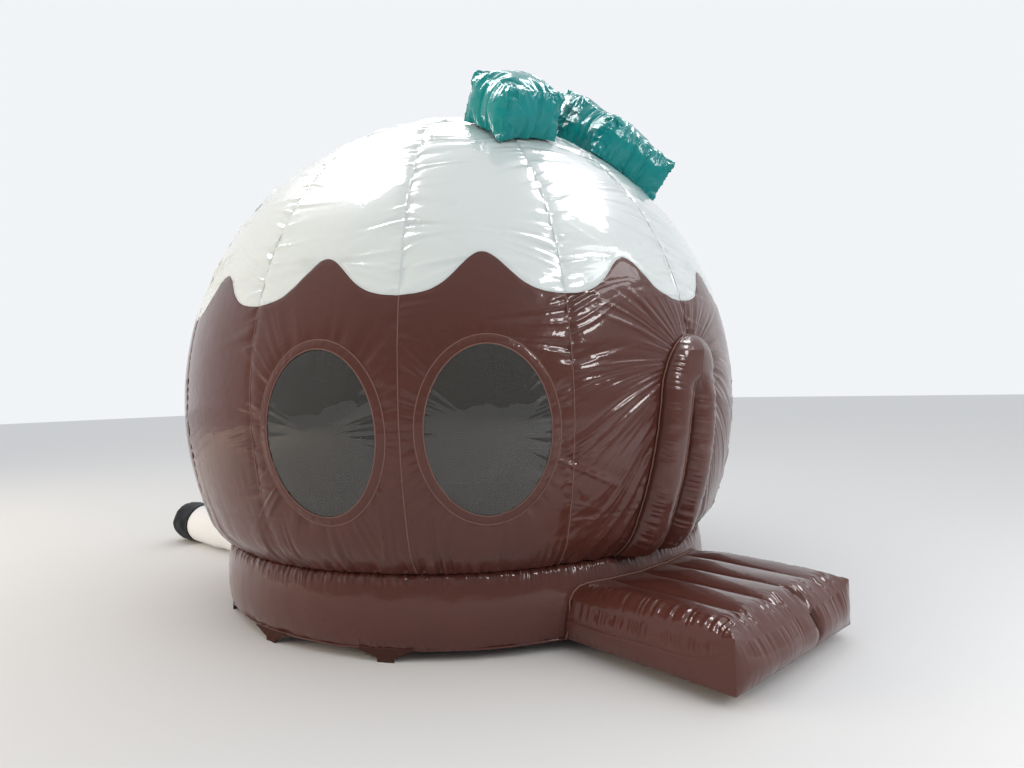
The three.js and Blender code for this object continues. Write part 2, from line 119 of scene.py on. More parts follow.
def noise(x, y=0.0, z=0.0, seed=0):
    """Smooth value noise from -1 to 1."""
    x, y, z = np.broadcast_arrays(*(np.asarray(v, float) for v in (x, y, z)))
    cells = [np.floor(v).astype(np.int64) for v in (x, y, z)]
    parts = [v - c for v, c in zip((x, y, z), cells)]
    fx, fy, fz = (f * f * f * (f * (6 * f - 15) + 10) for f in parts)
    total = 0.0
    for dx in (0, 1):
        wx = fx if dx else 1 - fx
        for dy in (0, 1):
            wy = fy if dy else 1 - fy
            for dz in (0, 1):
                wz = fz if dz else 1 - fz
                total = total + wx * wy * wz * lattice(cells[0] + dx, cells[1] + dy, cells[2] + dz, seed)
    return total


def grain(x, y, size, seed, z=0.0):
    """Noise in patches of about a size in metres."""
    return noise(x / size, y / size, z, seed)


def sharpened(value):
    """Sharp crests and rounder valleys from noise, about -1 to 1."""
    return 1 - 2.6 * np.abs(value) ** 0.8


def ridges(x, y=0.0, seed=0):
    return sharpened(noise(x, y, 0.0, seed))


def step(value, low, high):
    t = np.clip((value - low) / (high - low), 0, 1)
    return t * t * (3 - 2 * t)


def blend(a, b, share):
    return a + (b - a) * share


def hump(distance, width, power=2):
    """1 at no distance, and a smooth fall on both sides."""
    return np.exp(-(distance / width) ** power)


def fade(distance, length):
    """1 at no distance, and a steady dying away."""
    return np.exp(-distance / length)


def around(count, full=2 * math.pi):
    """Even steps round a full turn, its end left out."""
    return np.linspace(0, full, count + 1)[:-1]


def unit(vectors):
    return vectors / np.linalg.norm(vectors, axis=-1, keepdims=True)


# ---- places on the dome

def tuck(latitude):
    depth = np.clip((TUCK - latitude) / (TUCK - CREASE), 0, 1)
    return 1 - TUCK_SHARE * depth ** 2


def round_axis(azimuth, radius, level):
    """Points at an azimuth in degrees, a distance from the dome's axis and a height."""
    turn = np.radians(azimuth)
    return np.stack(np.broadcast_arrays(radius * np.sin(turn), -radius * np.cos(turn), level), -1)


def dome_normal(azimuth, latitude):
    rise = np.radians(latitude)
    return unit(round_axis(azimuth, np.cos(rise) / RADIUS, np.sin(rise) / RISE))


def dome_point(azimuth, latitude, lift):
    rise = np.radians(latitude)
    point = round_axis(azimuth, RADIUS * np.cos(rise) * tuck(latitude), CENTRE_Z + RISE * np.sin(rise))
    return point + dome_normal(azimuth, latitude) * np.asarray(lift)[..., None]


def icing_edge(azimuth):
    wave = np.sin(np.radians(azimuth - DOOR_SEAM) / np.radians(GORE_ANGLE) * math.pi) ** 2
    return blend(LOBE_LATITUDE, PEAK_LATITUDE, blend(wave ** PEAK_SHARPNESS, wave, PEAK_SPREAD))


def leg_share(latitude):
    return np.clip((DOOR_SPRING - latitude) / (DOOR_SPRING - CREASE), 0, 1)


def arch_share(latitude):
    return np.clip((latitude - DOOR_SPRING) / (DOOR_TOP - DOOR_SPRING), 0, 1)


def slit_azimuth(latitude):
    leg = blend(SLIT_SPRING, SLIT_FOOT, leg_share(latitude))
    return blend(leg, SLIT_TOP, arch_share(latitude))


def door_edge(side, latitude):
    share = leg_share(latitude)
    reach = blend(side[0], side[1], share) - blend(SLIT_SPRING, SLIT_FOOT, share)
    arch = np.sqrt(1 - arch_share(latitude) ** 2)
    return slit_azimuth(latitude) + reach * np.maximum(DOOR_TIP_SHARE, arch)


def turned(azimuth, centre):
    """Azimuth difference from centre, between -180 and 180."""
    return (azimuth - centre + 180) % 360 - 180


# ---- the skin's folds

def seam_folds(azimuth, latitude):
    """Folds that each gore seam gathers on both sides in loose fans, and the seam's own groove."""
    count = np.round((azimuth - DOOR_SEAM) / GORE_ANGLE)
    seam = DOOR_SEAM + count * GORE_ANGLE
    offset = (azimuth - seam) * ARC * np.cos(np.radians(latitude))
    away, along = np.abs(offset), latitude * ARC
    row = (count % GORES) * 7.31 + np.where(offset < 0, 3.7, 0)
    icing = step(latitude, icing_edge(azimuth) - 0.3, icing_edge(azimuth) + 0.3)
    patch = step(noise(along / 0.42, (count % GORES) * 5.3, 0, 11), -0.45, 0.45)
    strength = blend(0.3 + 0.7 * patch, 0.6 + 0.4 * patch, icing) * blend(0.62, 1.45, icing)
    strength = strength * (1 - step(latitude, 64, 82))
    front = np.abs(turned(seam, DOOR_SEAM - GORE_ANGLE)) < 1
    strength = np.where(front & (latitude < 15.5) & (latitude > 4), 1.25, strength)
    lean = 0.55 * noise(along / 0.3, row, 0, 15)
    place = along + lean * away
    reach = 0.05 + 0.24 * step(noise(place / 0.08, row, 0, 12), -0.35, 0.75) ** 1.4
    fold = ridges(place / 0.058, row, 13)
    fine = ridges((along - 0.1 * away) / 0.025, row, 14)
    profile = (1 - fade(away, 0.012)) * hump(away, reach, 1.25)
    groove = -0.005 * hump(away, 0.035)
    return groove + profile * strength * (0.0095 * fold + 0.0030 * fine * fade(away, 0.045))


def window_folds(azimuth, latitude):
    total = 0.0
    for gore in WINDOW_GORES:
        x, y, d = window_place(gore, azimuth, latitude)
        angle = np.arctan2(y, x)
        reach = 0.04 + 0.16 * step(noise(angle * 5, gore, 0, 21), -0.2, 0.8)
        low = 1 + 1.3 * step(-y, 0.1, 0.5) + 0.8 * step(np.abs(x), 0.2, 0.4)
        fold = ridges(angle * 8.5, gore * 3, 22) + 0.5 * ridges(angle * 19, gore * 5, 23)
        outside = np.clip(d - WELT, 0, None)
        total = total + 0.0056 * low * fold * (1 - fade(outside, 0.012)) * fade(outside, reach)
        total = total - 0.006 * hump(d - WELT, 0.05)
    return total


def window_place(gore, azimuth, latitude):
    """Metres right of and above a window's middle, and the distance outside its pane."""
    x = turned(azimuth, DOOR_SEAM + gore * GORE_ANGLE) * WINDOW_DEGREE[0]
    y = (latitude - WINDOW_LATITUDE) * WINDOW_DEGREE[1]
    a, b = WINDOW_HALF
    ring = np.hypot(x / a, y / b)
    slope = np.hypot(x / a ** 2, y / b ** 2) / np.maximum(ring, 1e-6)
    return x, y, (ring - 1) / np.maximum(slope, 1e-6)


def door_distance(azimuth, latitude):
    """Metres outside the door's outline, negative within it."""
    az = turned(azimuth, 0)
    level = np.minimum(latitude, DOOR_TOP)
    left = (door_edge(DOOR_LEFT, level) - az) * ARC
    right = (az - door_edge(DOOR_RIGHT, level)) * ARC
    side = np.maximum(left, right)
    above = (latitude - DOOR_TOP) * ARC
    return np.where(above > 0, np.hypot(above, np.clip(side, 0, None)), side)


def door_folds(azimuth, latitude):
    """Folds that fan out from the arch, as the door's seam gathers the skin."""
    d = door_distance(azimuth, latitude)
    x = turned(azimuth, FAN_CENTRE[0]) * ARC * np.cos(np.radians(latitude))
    y = (latitude - FAN_CENTRE[1]) * ARC
    angle = np.degrees(np.arctan2(y, x))
    radius = np.hypot(x, y)
    bent = angle + 4 * grain(x, y, 0.5, 31)
    fold = 0.8 * ridges(bent / 5.2, radius * 0.5, 32) + 0.45 * ridges(bent / 2.3, radius, 33)
    length = 0.30 + 0.35 * step(noise(bent / 7, 0, 0, 34), -0.5, 0.8)
    sideways = step(np.abs(x), 0.03, 0.3)
    height = 0.0030 + 0.0045 * sideways
    away = np.clip(d, 0, None)
    fan = height * fold * (1 - fade(away, 0.02)) * hump(away, length, 1.5)
    fan = fan * np.clip(0.3 + radius / 0.6, 0, 1.4) * (1 - step(latitude, 13, 17.5))
    gather = ridges(y / 0.035, np.sign(x), 35) * 0.004 * (1 - fade(away, 0.01)) * fade(away, 0.05)
    groove = -0.004 * hump(d, 0.03)
    return np.where(np.abs(turned(azimuth, 0)) < 60, fan + gather + groove, 0)


def crease_folds(azimuth, latitude):
    """Upright pleats where the skin is gathered to the bed."""
    above = (latitude - CREASE) * ARC
    arc = np.radians(azimuth) * RADIUS
    x, y = np.sin(np.radians(azimuth)) * RADIUS, np.cos(np.radians(azimuth)) * RADIUS
    reach = 0.06 + 0.30 * step(grain(x, y, 0.13, 41), 0.0, 0.8)
    lean = 0.25 * above * grain(x, y, 0.7, 44)
    wave = np.sin(arc * 2 * math.pi / 0.42 + 3 * grain(x, y, 0.2, 42))
    fold = ridges((x + lean) / 0.045, y / 0.045, 43)
    return (0.0145 * fold + 0.006 * wave) * fade(above, reach) * step(above, -0.01, 0.02)


def edge_folds(azimuth, latitude):
    """The icing's stitched edge, with a star of long folds at each peak, most of them level."""
    gap = (latitude - icing_edge(azimuth)) * ARC
    peak = (np.floor((azimuth - DOOR_SEAM) / GORE_ANGLE) + 0.5) * GORE_ANGLE + DOOR_SEAM
    x = turned(azimuth, peak) * ARC * math.cos(math.radians(PEAK_LATITUDE))
    y = (latitude - PEAK_LATITUDE + 0.8) * ARC
    radius, angle = np.hypot(x, y), np.arctan2(y, x)
    level = 0.12 + 0.95 * np.abs(np.cos(angle)) ** 9
    star = ridges(angle * 4.2, peak, 51) * 0.0065 * level * (radius / 0.13) * np.exp(1 - radius / 0.13)
    star = star * step(gap, -0.02, 0.03)
    wave = noise(azimuth / 1.1, 0, 0, 52)
    return star + 0.0015 * wave * fade(np.abs(gap), 0.05) - 0.003 * hump(gap, 0.02)


def sway(position):
    x, y, z = position[..., 0], position[..., 1], position[..., 2]
    broad = noise(x / 0.62, y / 0.62, z / 0.62, 61)
    small = noise(x / 0.21, y / 0.21, z / 0.3, 62)
    return 0.0045 * broad + 0.0011 * small


def skin_relief(azimuth, latitude):
    position = dome_point(azimuth, latitude, 0.0)
    total = seam_folds(azimuth, latitude) + window_folds(azimuth, latitude)
    total = total + door_folds(azimuth, latitude) + crease_folds(azimuth, latitude)
    return total + edge_folds(azimuth, latitude) + sway(position)


# ---- meshes

def new_object(name, data):
    made = bpy.data.objects.new(name, data)
    bpy.context.scene.collection.objects.link(made)
    return made


def make_object(name, *parts):
    """One object from parts, each its points and its quads, with -1 in the last place of a triangle."""
    vertices = np.concatenate([points for points, _ in parts])
    starts = np.cumsum([0] + [len(points) for points, _ in parts])
    faces = [np.where(quads < 0, -1, quads + start) for (_, quads), start in zip(parts, starts)]
    faces = np.concatenate(faces)
    mesh = bpy.data.meshes.new(name)
    sizes = np.where(faces[:, 3] < 0, 3, 4)
    loops = faces[faces >= 0]
    mesh.vertices.add(len(vertices))
    mesh.vertices.foreach_set("co", vertices.astype(np.float32).ravel())
    mesh.loops.add(len(loops))
    mesh.loops.foreach_set("vertex_index", loops.astype(np.int32))
    mesh.polygons.add(len(faces))
    mesh.polygons.foreach_set("loop_start", (np.cumsum(sizes) - sizes).astype(np.int32))
    mesh.update(calc_edges=True)
    mesh.shade_smooth()
    return new_object(name, mesh)


def dress(piece, material, nodes=()):
    piece.data.materials.clear()
    piece.data.materials.append(material)
    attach(piece, "root")
    if nodes:
        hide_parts(*nodes)
    return piece


def sheet_mesh(name, outer, inner, keep=None, round_trip=False):
    """A closed thin sheet between two grids of points (rows, columns, 3). keep drops cells for holes."""
    rows, columns = outer.shape[:2]
    wide = columns if round_trip else columns - 1
    if keep is None:
        keep = np.ones((rows - 1, wide), bool)
    index = np.arange(rows * columns).reshape(rows, columns)
    right = np.roll(index, -1, 1) if round_trip else index[:, 1:]
    left = index if round_trip else index[:, :-1]
    a, b, c, d = left[:-1], right[:-1], right[1:], left[1:]
    e, f, g, h = (corner + rows * columns for corner in (a, b, c, d))
    padded = np.pad(keep, 1)
    if round_trip:
        padded[1:-1, 0], padded[1:-1, -1] = keep[:, -1], keep[:, 0]
    quads = (((a, b, c, d), keep), ((e, h, g, f), keep),
             ((a, e, f, b), keep & ~padded[:-2, 1:-1]), ((d, c, g, h), keep & ~padded[2:, 1:-1]),
             ((a, d, h, e), keep & ~padded[1:-1, :-2]), ((b, f, g, c), keep & ~padded[1:-1, 2:]))
    faces = np.concatenate([np.stack(corners, -1)[kept] for corners, kept in quads])
    vertices = np.concatenate([outer.reshape(-1, 3), inner.reshape(-1, 3)])
    used, faces = np.unique(faces, return_inverse=True)
    return make_object(name, (vertices[used], faces.reshape(-1, 4)))


def loft(rings, cap=True, closed=False):
    """A body from rings of points (rings, sides, 3) that turn left round the way they follow."""
    count, sides = rings.shape[:2]
    index = np.arange(count * sides).reshape(count, sides)
    low, high = (index, np.roll(index, -1, 0)) if closed else (index[:-1], index[1:])
    faces = [np.stack([low, np.roll(low, -1, 1), np.roll(high, -1, 1), high], -1).reshape(-1, 4)]
    vertices = rings.reshape(-1, 3)
    if cap and not closed:
        ends = np.stack([rings[0].mean(0), rings[-1].mean(0)])
        start = len(vertices)
        vertices = np.concatenate([vertices, ends])
        first, last = index[0], index[-1]
        none = np.full(sides, -1)
        faces.append(np.stack([np.roll(first, -1), first, np.full(sides, start), none], -1))
        faces.append(np.stack([last, np.roll(last, -1), np.full(sides, start + 1), none], -1))
    return vertices, np.concatenate(faces)


def bead(path, normal, width, height, closed=False):
    """A low rounded bead along a path on a surface, as a seam's thread or a welt shows."""
    ahead = np.roll(path, -1, 0) - np.roll(path, 1, 0)
    if not closed:
        ahead[0], ahead[-1] = path[1] - path[0], path[-1] - path[-2]
    side = unit(np.cross(normal, unit(ahead)))
    turn = around(8)
    ring = (path[:, None] + side[:, None] * (np.cos(turn) * width / 2)[None, :, None]
            + normal[:, None] * (np.sin(turn) * height)[None, :, None])
    return loft(ring, closed=closed)


# ---- materials

def srgb(*levels):
    shares = (level / 255 for level in levels)
    return (*(v / 12.92 if v <= 0.04045 else ((v + 0.055) / 1.055) ** 2.4 for v in shares), 1.0)


def feed(tree, node, inputs):
    """Sets a node's inputs to plain values, or links them from other nodes' outputs."""
    for name, value in inputs.items():
        if isinstance(value, bpy.types.NodeSocket):
            tree.links.new(value, node.inputs[name])
        else:
            node.inputs[name].default_value = value
    return node


def add(tree, kind, output, inputs, **settings):
    """Adds a node and gives one of its outputs."""
    node = tree.nodes.new("ShaderNode" + kind)
    for name, value in settings.items():
        setattr(node, name, value)
    return feed(tree, node, inputs).outputs[output]


def new_material(name):
    material = bpy.data.materials.new(name)
    material.use_nodes = True
    return material, material.node_tree, material.node_tree.nodes["Principled BSDF"]


def vinyl(name, colour, roughness, shade=0.08, wave=0.25, weave=0.05, coat=0.0, film=0.03):
    """Coated fabric: slight cloudy colour, broad ripples, creases and a fine woven base under gloss."""
    material, tree, shader = new_material(name)
    place = add(tree, "TexCoord", "Object", {})

    def cloudy(**inputs):
        return add(tree, "TexNoise", "Fac", {"Vector": place, **inputs})

    dark, pale = ((*(min(1, c * share) for c in colour[:3]), 1) for share in (1 - shade, 1 + shade))
    base_colour = add(tree, "Mix", 2, {0: cloudy(Scale=2.3, Detail=6), 6: dark, 7: pale}, data_type="RGBA")
    rough = {"To Min": roughness * 0.7, "To Max": roughness * 1.35, "Value": cloudy(Scale=9, Detail=8)}
    ripple = cloudy(Scale=16, Detail=3, Distortion=0.4)
    broad = add(tree, "Bump", "Normal", {"Strength": wave, "Distance": 0.008, "Height": ripple})
    large = add(tree, "VectorMath", 0, {"Scale": 900, 0: place}, operation="SCALE")
    threads = add(tree, "TexVoronoi", "Distance", {"Scale": 1, "Randomness": 0.35, "Vector": large})
    fine = {"Strength": weave, "Distance": 0.0004, "Height": threads, "Normal": broad}
    feed(tree, shader, {
        "IOR": 1.22, "Coat Weight": coat, "Coat Roughness": film, "Base Color": base_colour,
        "Roughness": add(tree, "MapRange", "Result", rough),
        "Normal": add(tree, "Bump", "Normal", fine), "Coat Normal": broad})
    return material


def clear_film():
    """Clear film as a thin sheet: each of its two faces lets half the light through and mirrors a little, and
    its near-black colour is painted shade for the dim inside seen through the pane.
    """
    material, tree, shader = new_material("clear film")
    place = add(tree, "TexCoord", "Object", {})
    haze = add(tree, "TexNoise", "Fac", {"Scale": 3, "Vector": place})
    rough = add(tree, "MapRange", "Result", {"To Min": 0.01, "To Max": 0.05, "Value": haze})
    # Near black: painted shade that stands for the dark inside of the dome seen through the pane
    base_colour = (0.055, 0.051, 0.046, 1)
    feed(tree, shader, {"Base Color": base_colour, "Alpha": 0.5, "IOR": 1.95, "Roughness": rough})
    return material


# colour, roughness, cloudiness, ripples, weave, coat, the coat's roughness
BROWN = vinyl("brown vinyl", srgb(87, 48, 41), 0.3, 0.1, 0.22, 0.05, 0.62)
WHITE = vinyl("white vinyl", srgb(222, 228, 227), 0.3, 0.02, 0.16, 0.05, 1.0, 0.02)
TEAL = vinyl("teal vinyl", srgb(0, 138, 138), 0.3, 0.1, 0.25, 0.05, 0.45)
RED = vinyl("red vinyl", srgb(178, 30, 38), 0.3, 0.1, 0.2, 0.05, 0.8)
BROWN_THREAD = vinyl("brown seam", srgb(128, 96, 86), 0.4, 0.1, 0.1, 0.4)
WHITE_THREAD = vinyl("white seam", srgb(214, 219, 219), 0.4, 0.1, 0.1, 0.4)
TUBE_CLOTH = vinyl("white coated cloth", srgb(233, 236, 240), 0.42, 0.03, 0.5, 0.5)
SLEEVE_CLOTH = vinyl("black coated cloth", srgb(24, 25, 30), 0.5, 0.15, 0.5, 0.5)
WEBBING = vinyl("brown webbing", srgb(70, 44, 38), 0.7, 0.2, 0.3, 0.9)
CLEAR = clear_film()


# ---- the dome's skin

def gore_columns(count, pull):
    share = np.linspace(0, 1, count + 1)
    return share - pull * np.sin(2 * math.pi * share) / (2 * math.pi)


def gore_grid(gore, low, high, rows, columns, pull):
    azimuth = DOOR_SEAM + (gore + gore_columns(columns, pull)) * GORE_ANGLE
    azimuth = np.broadcast_to(azimuth, (rows + 1, columns + 1))
    up = np.linspace(0, 1, rows + 1)[:, None]
    return azimuth, blend(low(azimuth), high(azimuth), up)


def skin_piece(name, azimuth, latitude, keep=None, foot=False):
    relief = skin_relief(azimuth, latitude)
    outer = dome_point(azimuth, latitude, relief)
    inner = dome_point(azimuth, latitude, relief - SHEET)
    if foot:
        outer = np.concatenate([flange(outer[0], 0.0), outer])
        inner = np.concatenate([flange(inner[0], SHEET), inner])
        keep = None if keep is None else np.concatenate([keep[:1], keep])
    return sheet_mesh(name, outer, inner, keep)


def flange(edge, lift):
    """The row that the skin's foot ends in, inside the dome and just above the bed."""
    row = edge.copy()
    row[:, :2] *= 1 - FLANGE / np.linalg.norm(edge[:, :2], axis=1, keepdims=True)
    row[:, 2] = BED_TOP + 0.002 + lift
    return row[None]


def cell_middles(grid):
    return (grid[:-1, :-1] + grid[1:, :-1] + grid[:-1, 1:] + grid[1:, 1:]) / 4


def wall_piece(gore):
    middle = (gore if gore < GORES / 2 else gore - GORES) + 0.5
    door, window = abs(middle) < 1, middle in WINDOW_GORES
    grid = DOOR_GRID if door else WINDOW_GRID if window else WALL_GRID
    azimuth, latitude = gore_grid(gore, lambda a: CREASE, icing_edge, *grid)
    cells = cell_middles(azimuth), cell_middles(latitude)
    keep = None
    if window:
        keep = window_place(middle, *cells)[2] > WELT * 0.5
    if door:
        keep = door_distance(*cells) > -0.02
    piece = skin_piece(f"wall_skin_{gore + 1}", azimuth, latitude, keep, foot=True)
    return dress(piece, BROWN, [f"wall_gore_{gore + 1}"])


def icing_piece(gore):
    azimuth, latitude = gore_grid(gore, icing_edge, lambda a: CROWN, *ICING_GRID)
    piece = skin_piece(f"icing_skin_{gore + 1}", azimuth, latitude)
    return dress(piece, WHITE, [f"icing_gore_{gore + 1}"])


def surface_bead(azimuth, latitude, width, height, closed=False, lift=0.0005):
    path = dome_point(azimuth, latitude, skin_relief(azimuth, latitude) + lift)
    return bead(path, dome_normal(azimuth, latitude), width, height, closed)


def seam_beads():
    brown, white = [], []
    for gore in range(GORES):
        azimuth = DOOR_SEAM + gore * GORE_ANGLE
        low = CREASE if gore else DOOR_TOP
        latitude = np.linspace(low, LOBE_LATITUDE, 180)
        brown.append(surface_bead(azimuth + 0 * latitude, latitude, 0.007, 0.0022))
        latitude = np.linspace(LOBE_LATITUDE, CROWN, 240)
        white.append(surface_bead(azimuth + 0 * latitude, latitude, 0.006, 0.0020))
    dress(make_object("gore_seams_brown", *brown), BROWN_THREAD)
    dress(make_object("gore_seams_white", *white), WHITE_THREAD)
    azimuth = around(1400, 360)
    edge = surface_bead(azimuth, icing_edge(azimuth), 0.009, 0.003, closed=True)
    dress(make_object("icing_edge_seam", edge), WHITE_THREAD)


def crown_piece():
    azimuth = around(56, 360)
    share = np.linspace(0.02, 1, 9)[:, None]
    latitude = 90 - (90 - CROWN + 0.15) * share
    rise = 0.006 + 0.002 * noise(azimuth / 20, share * 2, 0, 71) - 0.004 * share
    outer = dome_point(azimuth, latitude, rise)[::-1]
    inner = dome_point(azimuth, latitude, rise - SHEET)[::-1]
    piece = sheet_mesh("crown_cap", outer, inner, round_trip=True)
    dress(piece, WHITE, ["crown_patch"])


# ---- windows

def window_spot(gore, x, y):
    """Azimuth and latitude of a place x metres right of a window's middle and y metres above it."""
    return DOOR_SEAM + gore * GORE_ANGLE + x / WINDOW_DEGREE[0], WINDOW_LATITUDE + y / WINDOW_DEGREE[1]


def window_ring(gore, reach, angle):
    """Azimuth and latitude of a ring round a window, reach metres outside its pane's edge."""
    a, b = WINDOW_HALF[0] + reach, WINDOW_HALF[1] + reach
    return window_spot(gore, a * np.cos(angle), b * np.sin(angle))


def window_film(gore, number):
    """The clear pane, on a square grid drawn out to the oval, with puckers at its edge."""
    u, v = np.linspace(-1, 1, 121)[None, :], np.linspace(-1, 1, 151)[:, None]
    across, up = u * np.sqrt(1 - v ** 2 / 2), v * np.sqrt(1 - u ** 2 / 2)
    x, y = WINDOW_HALF[0] * across, WINDOW_HALF[1] * up
    share, angle = np.hypot(across, up), np.arctan2(up, across)
    azimuth, latitude = window_spot(gore, x, y)
    inward = (1 - share) * WINDOW_REACH
    fold = ridges(angle * 9, gore, 81) + 0.5 * ridges(angle * 21, gore, 82)
    reach = 0.03 + 0.14 * step(noise(angle * 4, gore, 0, 83), -0.2, 0.8)
    strong = 0.35 + 0.9 * step(np.cos(angle + 0.25), 0.3, 1) + 0.35 * step(-np.cos(angle - 0.6), 0.4, 1)
    pucker = 0.0062 * strong * fold * (1 - fade(inward, 0.01)) * fade(inward, reach)
    wobble = 0.007 * noise(x / 0.24, y / 0.3, gore, 84) + 0.0016 * noise(x / 0.08, y / 0.1, gore, 87)
    lift = pucker + wobble * step(inward, 0, 0.12) - 0.004
    outer, inner = dome_point(azimuth, latitude, lift), dome_point(azimuth, latitude, lift - 0.002)
    pane = sheet_mesh(f"window_film_{number}", outer, inner)
    dress(pane, CLEAR, [f"window_pane_{number}"])


def window_pieces(gore, number):
    window_film(gore, number)
    angle = around(360)
    share = np.linspace(0, 1, 12)[:, None]
    reach = WELT * share
    ring = window_ring(gore, reach, angle)
    crown = np.sin(math.pi * share) ** 0.5
    fold = 0.0012 * ridges(angle * 14, gore, 85) + 0.001 * noise(angle * 30, reach * 60, 0, 86)
    relief = skin_relief(*ring) + crown * 0.004 + fold * crown
    outer = dome_point(*ring, relief + 0.001)
    inner = dome_point(*ring, relief - 0.010)
    welt = sheet_mesh(f"window_band_{number}", outer[:, ::-1], inner[:, ::-1], round_trip=True)
    dress(welt, BROWN, [f"window_welt_{number}"])
    beads = [surface_bead(*window_ring(gore, reach, angle), 0.007, 0.0025, closed=True, lift=0.002)
             for reach in (0.0, WELT)]
    dress(make_object(f"window_stitching_{number}", *beads), BROWN_THREAD)


# ---- the door

def door_rows(foot, low_count, high_count, share):
    """Latitudes from the door's foot to a share of its arch's height, closer together near the top."""
    low = np.linspace(foot, DOOR_SPRING, low_count)[:-1]
    high = DOOR_SPRING + (DOOR_TOP - DOOR_SPRING) * np.sin(np.linspace(0, math.pi / 2, high_count)) * share
    return np.concatenate([low, high])


def lip_piece(side, name, node):
    latitude = door_rows(LIP_FOOT, LIP_ROWS, 100, 0.998)[:, None]
    outer = door_edge(side, latitude)
    sign = math.copysign(1, side[0])
    joined = step(latitude, DOOR_SPRING - 1.2, DOOR_SPRING + 2.2)
    opened = 0.03 + SLIT_HALF * (1 - step(latitude, DOOR_SPRING - 6, DOOR_SPRING + 0.4))
    inner = slit_azimuth(latitude) + sign * opened
    middle, half = (outer + inner) / 2, np.abs(outer - inner) / 2
    turn = around(LIP_SIDES)
    bulge = LIP_BULGE * np.minimum(1, half / 2.5)
    along = latitude * ARC
    share = (1 + np.cos(turn)) / 2  # from the outer seam to the slit
    top = np.sin(turn) > -1e-6
    round_top = np.abs(np.sin(turn))
    ramp = np.sqrt(share * (2 - share))
    valley = 0.12 * hump(1 - share, 0.2) * (1 - step(latitude, DOOR_SPRING - 1, DOOR_SPRING + 3))
    height = np.where(top, blend(round_top, ramp - valley, joined), -round_top)
    gather = ridges(along / 0.028 + 1.5 * share, sign, 91) * 0.0038 * hump(share - 0.16, 0.16)
    inside = ridges(along / 0.031 - 1.2 * share, 3 + sign, 92) * 0.0030
    inside = inside * hump(share - 0.8, 0.2) * (1 - joined) * (0.5 if sign < 0 else 1.2)
    soft = 0.005 * noise(along / 0.25, share * 1.6, 0, 93) + 0.0025 * noise(along / 0.09, share * 3, 0, 94)
    folds = (gather + inside + soft) * np.where(top, 1, 0.3) * np.minimum(1, half / 1.5)
    azimuth = middle + half * np.cos(turn) * -sign
    lift = LIP_LIFT * bulge / LIP_BULGE + bulge * height + folds * np.minimum(1, 4 * round_top + joined)
    rings = dome_point(azimuth, latitude, lift)
    rings[..., 2] = np.maximum(rings[..., 2], BED_TOP + 0.012)
    piece = make_object(name, loft(rings if sign < 0 else rings[:, ::-1]))
    dress(piece, BROWN, [node])
    rings = rings[8:LIP_ROWS + 5]
    normal = unit(rings[:, LIP_PIPING] - rings[:, LIP_PIPING + LIP_SIDES // 2])
    return rings[:, LIP_PIPING] + normal * 0.001, normal


def door_pieces():
    piping = bead(*lip_piece(DOOR_LEFT, "door_roll_left", "door_lip_left"), 0.013, 0.005)
    lip_piece(DOOR_RIGHT, "door_roll_right", "door_lip_right")
    up = door_rows(CREASE, 160, 60, 1)
    left, right = door_edge(DOOR_LEFT, up) - 0.1, door_edge(DOOR_RIGHT, up) + 0.1
    azimuth, latitude = np.concatenate([left, right[::-1]]), np.concatenate([up, up[::-1]])
    seam = surface_bead(azimuth, latitude, 0.009, 0.005, lift=0.010)
    dress(make_object("door_seam", piping, seam), BROWN_THREAD)


# ---- bed and step

def bed_piece():
    turns = around(2400, 360)
    rows = (np.linspace(0, 0.12, 8)[:-1], np.linspace(0.12, 0.8, 26)[:-1], np.linspace(0.8, 1, 18))
    share = np.concatenate(rows)[:, None]
    level = blend(BED_SEAM_Z, BED_TOP, share)
    side = bed_round(share) - 0.026 * (1 - np.sqrt(1 - np.clip((share - 0.915) / 0.085, 0, 1) ** 2))
    x, y = np.sin(np.radians(turns)) * 2, np.cos(np.radians(turns)) * 2
    top = hump(share - 0.92, 0.11)
    foot = hump(share, 0.10)
    reach = 0.6 + 0.4 * grain(x, y, 0.35, 101)
    lean = share * 0.05 * grain(x, y, 0.5, 107)
    gather = ridges((x + lean) / 0.026, y / 0.026, 102)
    pleat = ridges(x / 0.05, y / 0.05, 103)
    broad = grain(x, y, 0.5, 104, share * 1.5)
    dimple = 0.0075 * ridges((x + lean) / 0.052, y / 0.052, 110) * hump(share - 0.95, 0.06)
    radius = side + 0.0042 * gather * top * reach + dimple + 0.004 * pleat * foot + 0.006 * broad
    radius = radius + 0.003 * grain(x, y, 0.12, 105, share * 2)
    level = level + 0.006 * gather * step(share, 0.85, 1) + 0.008 * grain(x, y, 0.3, 106, 3) * foot
    under = [round_axis(turns, *ring) for ring in BED_UNDER]
    inward = [round_axis(turns, radius[-1] - d, BED_TOP + lift + 0.002 * noise(turns / 3, d * 5, 0, 108))
              for d, lift in BED_INWARD]
    rings = np.concatenate([np.array(under), round_axis(turns, radius, level), np.array(inward)])
    piece = make_object("bed_cushion", loft(rings))
    dress(piece, BROWN, ["bed"])
    path = round_axis(turns, BED_SEAM_R + 0.004, BED_SEAM_Z + 0.004 * noise(turns / 4, 0, 0, 109))
    seam = bead(path, round_axis(turns, 1, 0), 0.014, 0.006, closed=True)
    dress(make_object("bed_foot_seam", seam), BROWN)


STEP_HALF = 0.715
STEP_FRONT = -3.019
STEP_FOOT = 0.08
STEP_TOP = 0.42
STEP_CORNER_TOP = 0.388
STEP_CROWN = 0.022
STEP_SEAM = 0.26
STEP_CREASE_X = 0.145
STEP_COLUMNS, STEP_ROWS = 300, 42
BEAMS = 5
EDGE_TURN = 0.85  # sine of the slope that the top has reached at its edge


def bed_round(share):
    """The bed's radius at a share of its side's height, without its folds."""
    return BED_SEAM_R + (BED_BULGE_R - BED_SEAM_R) * np.sin(math.pi * share ** 0.9) ** 0.8


